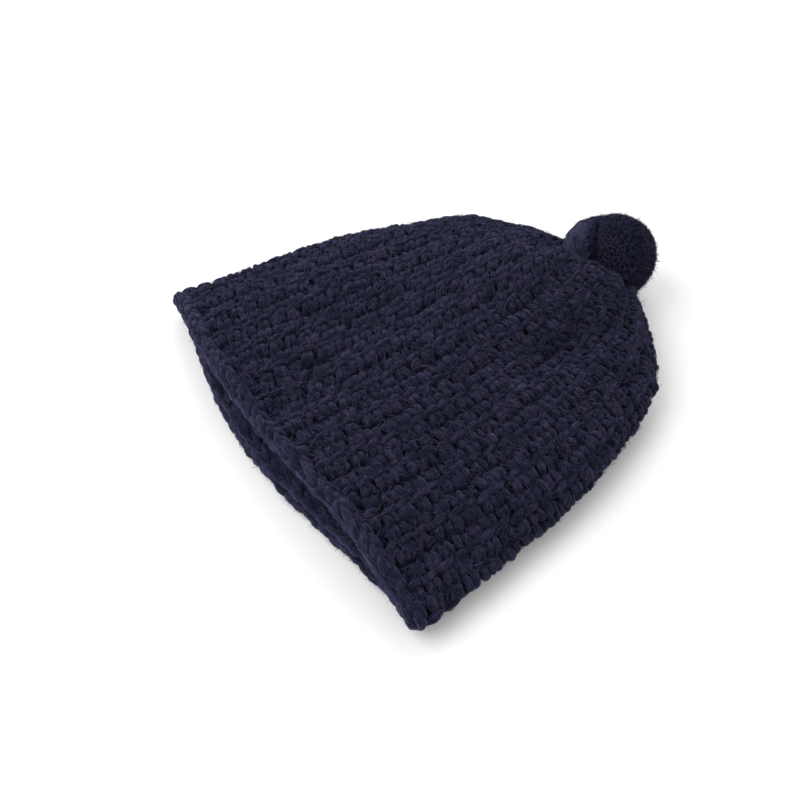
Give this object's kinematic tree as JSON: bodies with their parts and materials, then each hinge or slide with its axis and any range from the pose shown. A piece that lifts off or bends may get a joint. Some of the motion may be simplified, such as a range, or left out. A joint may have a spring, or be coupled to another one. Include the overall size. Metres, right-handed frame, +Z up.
{
  "type": "pom pom beanie",
  "caption": "Crocheted winter beanie lying flat, with ridged rows from hem to gathered crown, an open mouth and a yarn pompom tied on at the crown",
  "frame": {"origin": "on the surface that the hat lies on, under the middle of the whole object's box", "axes": "+Y runs from the hem to the crown and the pompom, +X runs across the hat from the far hem corner to the near one, +Z is up"},
  "size_m": [0.2402, 0.2501, 0.0508],
  "materials": {
    "wool_fabric": "matte, fuzzy crocheted navy wool yarn",
    "wool_edging": "matte navy wool yarn, worked tighter than the fabric",
    "wool_pile": "matte, trimmed navy wool yarn ends"
  },
  "bodies": {
    "hat": {"crochet_panel": "wool_fabric", "hem_edging": "wool_edging", "back_seam": "wool_fabric", "crown_drawstring": "wool_fabric", "crown_anchor": "wool_fabric"},
    "tether": {"pompom_tether": "wool_fabric"},
    "pompom": {"pompom_pile": "wool_pile", "pompom_tie": "wool_fabric"}
  },
  "joints": [
    {"name": "pompom_flop", "type": "hinge", "parent": "hat", "child": "tether", "pos_m": [0.006, 0.0753, 0.0254], "axis": [1, 0, 0], "range_deg": [0, 25]},
    {"name": "pompom_twist", "type": "hinge", "parent": "tether", "child": "pompom", "pos_m": [0.006, 0.1003, 0.0254], "axis": [0, 1, 0], "range_deg": [-90, 90]}
  ]
}
